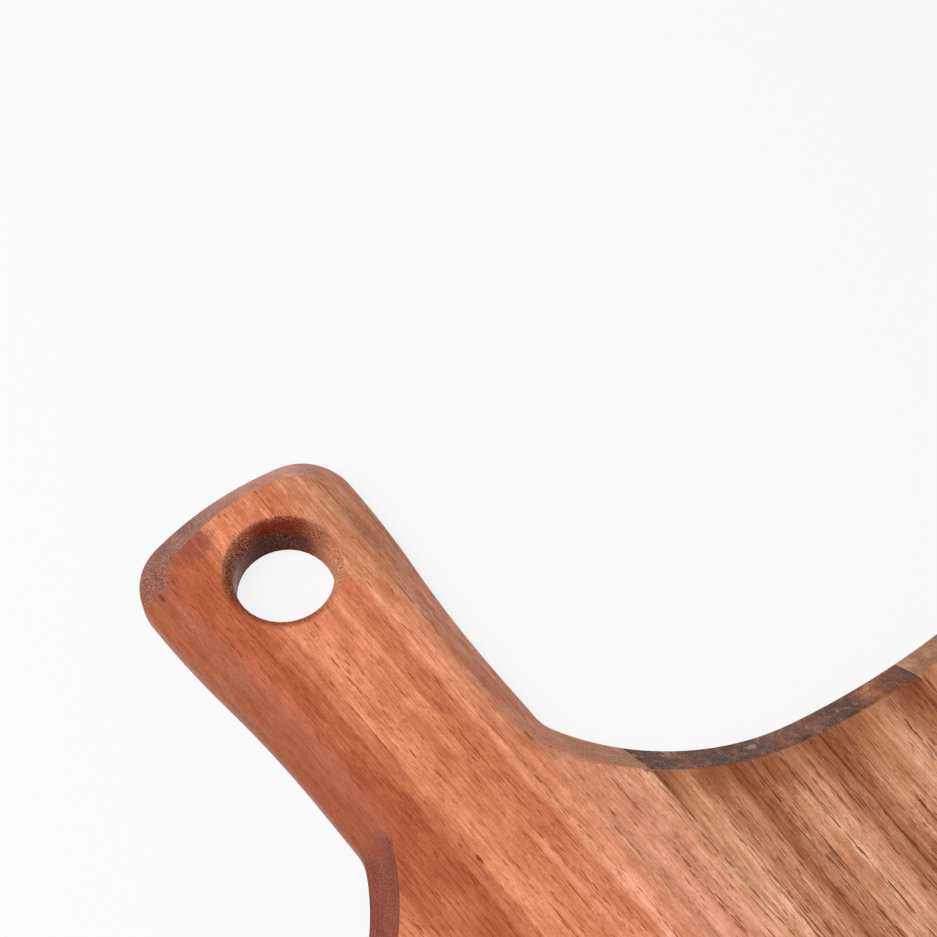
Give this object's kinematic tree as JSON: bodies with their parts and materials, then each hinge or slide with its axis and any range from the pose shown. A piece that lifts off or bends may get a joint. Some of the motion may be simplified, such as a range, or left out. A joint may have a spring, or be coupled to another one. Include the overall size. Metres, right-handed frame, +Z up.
{
  "type": "paddle charcuterie board",
  "caption": "Flat hardwood serving paddle glued up from staves, with swept shoulders, a wide bevel round the top edge and a handle with a round hanging hole.",
  "frame": {"origin": "on the underside, below the middle of the board's bounding box", "axes": "+Y along the handle towards its tip, +X to the right seen from above with the handle away, +Z up out of the serving face"},
  "size_m": [0.3, 0.5, 0.012],
  "materials": {
    "middle_stave_wood": "oiled, satin",
    "right_side_stave_wood": "oiled, satin",
    "left_side_stave_wood": "oiled, satin",
    "right_outer_stave_wood": "oiled, satin",
    "left_outer_stave_wood": "oiled, satin",
    "glue": "cured wood glue"
  },
  "bodies": {
    "root": {"middle_stave": "middle_stave_wood", "right_side_stave": "right_side_stave_wood", "left_side_stave": "left_side_stave_wood", "right_outer_stave": "right_outer_stave_wood", "left_outer_stave": "left_outer_stave_wood", "right_inner_glue_line": "glue", "left_inner_glue_line": "glue", "right_outer_glue_line": "glue", "left_outer_glue_line": "glue"}
  },
  "joints": []
}
